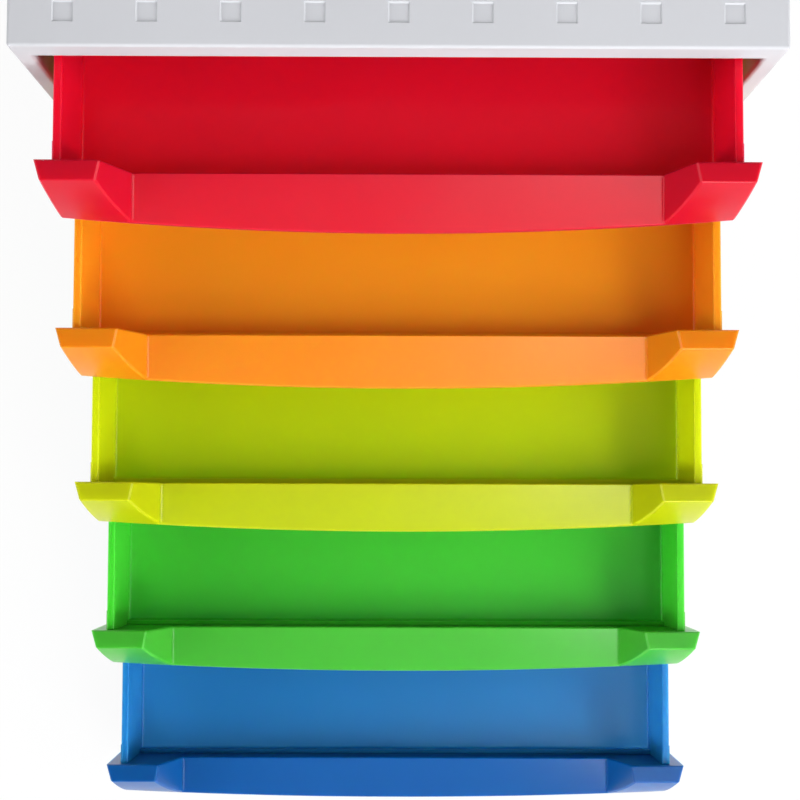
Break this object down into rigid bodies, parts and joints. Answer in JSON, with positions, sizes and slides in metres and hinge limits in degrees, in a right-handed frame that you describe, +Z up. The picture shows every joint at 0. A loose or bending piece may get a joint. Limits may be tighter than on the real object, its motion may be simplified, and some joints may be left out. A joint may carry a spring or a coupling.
{
  "type": "desktop drawer unit",
  "caption": "Grey desktop drawer unit with stacked translucent coloured drawers that slide out, each with an eared front and a bowed grip lip.",
  "frame": {"origin": "on the table, under the middle of the unit's box with the drawers drawn as stored", "axes": "+Z up, -Y the way the drawers open, +X to the right for someone facing the drawers"},
  "size_m": [0.275, 0.6274, 0.235],
  "materials": {
    "housing_grey": "smooth light grey moulded plastic with a faint satin sheen",
    "foot_rubber": "matt black rubber",
    "red_plastic": "translucent red moulded plastic, softly glossy",
    "orange_plastic": "translucent orange moulded plastic, softly glossy",
    "yellow_plastic": "translucent yellow moulded plastic, softly glossy",
    "green_plastic": "translucent green moulded plastic, softly glossy",
    "blue_plastic": "translucent blue moulded plastic, softly glossy"
  },
  "bodies": {
    "housing": {"top_cover": "housing_grey", "base_panel": "housing_grey", "rear_panel": "housing_grey", "left_side_panel": "housing_grey", "right_side_panel": "housing_grey", "front_left_foot": "foot_rubber", "front_right_foot": "foot_rubber", "rear_left_foot": "foot_rubber", "rear_right_foot": "foot_rubber"},
    "red_drawer": {"red_tray": "red_plastic", "red_front": "red_plastic"},
    "orange_drawer": {"orange_tray": "orange_plastic", "orange_front": "orange_plastic"},
    "yellow_drawer": {"yellow_tray": "yellow_plastic", "yellow_front": "yellow_plastic"},
    "green_drawer": {"green_tray": "green_plastic", "green_front": "green_plastic"},
    "blue_drawer": {"blue_tray": "blue_plastic", "blue_front": "blue_plastic"}
  },
  "joints": [
    {"name": "red_slide", "type": "slide", "parent": "housing", "child": "red_drawer", "axis": [0, -1, 0], "range_m": [-0.0492, 0.2453]},
    {"name": "orange_slide", "type": "slide", "parent": "housing", "child": "orange_drawer", "axis": [0, -1, 0], "range_m": [-0.1049, 0.1896]},
    {"name": "yellow_slide", "type": "slide", "parent": "housing", "child": "yellow_drawer", "axis": [0, -1, 0], "range_m": [-0.1628, 0.1317]},
    {"name": "green_slide", "type": "slide", "parent": "housing", "child": "green_drawer", "axis": [0, -1, 0], "range_m": [-0.2257, 0.0688]},
    {"name": "blue_slide", "type": "slide", "parent": "housing", "child": "blue_drawer", "axis": [0, -1, 0], "range_m": [-0.289, 0.0055]}
  ]
}
